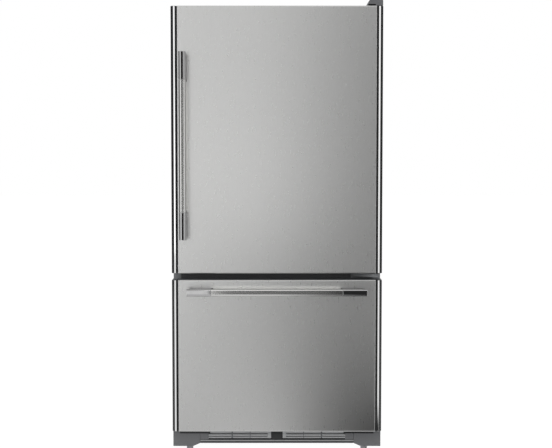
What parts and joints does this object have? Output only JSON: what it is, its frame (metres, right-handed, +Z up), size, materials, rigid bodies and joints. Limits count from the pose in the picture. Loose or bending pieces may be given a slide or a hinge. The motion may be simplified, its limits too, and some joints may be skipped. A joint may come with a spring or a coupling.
{
  "type": "bottom freezer refrigerator",
  "caption": "Free-standing refrigerator with a right-hinged upper door over a pull-out freezer drawer, bar handles, slotted base grille and a rear machine compartment.",
  "frame": {"origin": "centre of the bounding box's bottom face, on the floor", "axes": "+Z up, the doors face -Y, +X to the right of a person who stands in front"},
  "size_m": [0.826, 0.854, 1.785],
  "materials": {
    "stainless_steel": "fine vertical grain",
    "bright_trim": "polished",
    "handle_metal": "bright satin",
    "grey_painted_steel": "fine textured paint",
    "black_painted_steel": "semi-gloss paint",
    "zinc_steel": "zinc plated",
    "evaporator_aluminium": "mill",
    "grey_plastic": "moulded",
    "black_plastic": "moulded",
    "white_plastic": "moulded",
    "white_liner": "thermoformed",
    "clear_plastic": "clear moulded",
    "shelf_glass": "tempered, in a moulded frame",
    "gasket": "soft moulded",
    "foam": "rigid foam"
  },
  "bodies": {
    "cabinet": {"cabinet_shell": "grey_painted_steel", "cabinet_foam": "foam", "fresh_food_liner": "white_liner", "freezer_liner": "white_liner", "centre_rail": "grey_painted_steel", "base_frame": "zinc_steel", "base_grille": "grey_plastic", "corner_cover_right": "grey_plastic", "corner_cover_left": "grey_plastic", "top_hinge_bracket": "zinc_steel", "top_hinge_cover": "grey_plastic", "centre_hinge_bracket": "zinc_steel", "compressor": "black_painted_steel", "condenser_coil": "black_painted_steel", "condenser_fan_motor": "zinc_steel", "machine_cover": "grey_painted_steel", "control_box": "white_plastic", "shelf_lower": "shelf_glass", "shelf_upper": "shelf_glass", "crisper_cover": "shelf_glass", "evaporator_cover": "white_plastic", "evaporator_coil": "evaporator_aluminium", "slide_outer_right": "zinc_steel", "slide_outer_left": "zinc_steel"},
    "fridge_door": {"fridge_door_panel": "stainless_steel", "fridge_door_foam": "foam", "fridge_door_liner": "white_liner", "fridge_door_gasket": "gasket", "fridge_trim_right": "bright_trim", "fridge_trim_left": "bright_trim", "fridge_handle_bar": "handle_metal", "fridge_handle_mount_upper": "handle_metal", "fridge_handle_mount_lower": "handle_metal", "door_bin_upper": "clear_plastic", "door_bin_lower": "clear_plastic"},
    "dairy_lid": {"dairy_lid": "clear_plastic"},
    "freezer_drawer": {"freezer_door_panel": "stainless_steel", "freezer_door_foam": "foam", "freezer_door_liner": "white_liner", "freezer_door_gasket": "gasket", "freezer_trim_right": "bright_trim", "freezer_trim_left": "bright_trim", "freezer_handle_bar": "handle_metal", "freezer_handle_mount_left": "handle_metal", "freezer_handle_mount_right": "handle_metal", "drawer_rail_right": "zinc_steel", "drawer_rail_left": "zinc_steel", "freezer_basket": "clear_plastic"},
    "middle_slides": {"slide_middle_right": "zinc_steel", "slide_middle_left": "zinc_steel"},
    "upper_basket": {"freezer_upper_basket": "clear_plastic"},
    "crisper_right": {"crisper_right": "clear_plastic"},
    "crisper_left": {"crisper_left": "clear_plastic"},
    "control_knob": {"control_knob": "grey_plastic"},
    "condenser_fan": {"condenser_fan": "grey_plastic"},
    "evaporator_fan": {"evaporator_fan": "grey_plastic"},
    "roller_right": {"rear_roller_right": "black_plastic"},
    "roller_left": {"rear_roller_left": "black_plastic"},
    "leg_right": {"levelling_leg_right": "grey_plastic"},
    "leg_left": {"levelling_leg_left": "grey_plastic"}
  },
  "joints": [
    {"name": "freezer_drawer_slide", "type": "slide", "parent": "cabinet", "child": "freezer_drawer", "axis": [0, -1, 0], "range_m": [0, 0.43]},
    {"name": "middle_slide", "type": "slide", "parent": "cabinet", "child": "middle_slides", "axis": [0, -1, 0], "range_m": [0, 0.215]},
    {"name": "upper_basket_slide", "type": "slide", "parent": "cabinet", "child": "upper_basket", "axis": [0, -1, 0], "range_m": [0, 0.258]},
    {"name": "fridge_door_hinge", "type": "hinge", "parent": "cabinet", "child": "fridge_door", "pos_m": [0.391, -0.33, 1.2], "axis": [0, 0, 1], "range_deg": [0, 125]},
    {"name": "dairy_lid_hinge", "type": "hinge", "parent": "fridge_door", "child": "dairy_lid", "pos_m": [0, -0.229, 1.645], "axis": [1, 0, 0], "range_deg": [0, 90]},
    {"name": "crisper_right_slide", "type": "slide", "parent": "cabinet", "child": "crisper_right", "axis": [0, -1, 0], "range_m": [0, 0.1]},
    {"name": "crisper_left_slide", "type": "slide", "parent": "cabinet", "child": "crisper_left", "axis": [0, -1, 0], "range_m": [0, 0.1]},
    {"name": "control_knob_turn", "type": "hinge", "parent": "cabinet", "child": "control_knob", "pos_m": [0.07, -0.06, 1.683], "axis": [0, -1, 0], "range_deg": [-135, 135]},
    {"name": "condenser_fan_spin", "type": "hinge", "parent": "cabinet", "child": "condenser_fan", "pos_m": [-0.147, 0.296, 0.141], "axis": [1, 0, 0], "continuous": true},
    {"name": "evaporator_fan_spin", "type": "hinge", "parent": "cabinet", "child": "evaporator_fan", "pos_m": [0, 0.312, 0.5745], "axis": [0, 1, 0], "continuous": true},
    {"name": "roller_right_spin", "type": "hinge", "parent": "cabinet", "child": "roller_right", "pos_m": [0.33, 0.35, 0.02], "axis": [1, 0, 0], "continuous": true},
    {"name": "roller_left_spin", "type": "hinge", "parent": "cabinet", "child": "roller_left", "pos_m": [-0.33, 0.35, 0.02], "axis": [1, 0, 0], "continuous": true},
    {"name": "leg_right_turn", "type": "hinge", "parent": "cabinet", "child": "leg_right", "pos_m": [0.3485, -0.302, 0], "axis": [0, 0, 1], "continuous": true},
    {"name": "leg_left_turn", "type": "hinge", "parent": "cabinet", "child": "leg_left", "pos_m": [-0.3485, -0.302, 0], "axis": [0, 0, 1], "continuous": true}
  ],
  "couplings": [
    {"joint": "middle_slide", "follows": "freezer_drawer_slide", "ratio": 0.5},
    {"joint": "upper_basket_slide", "follows": "freezer_drawer_slide", "ratio": 0.6}
  ]
}
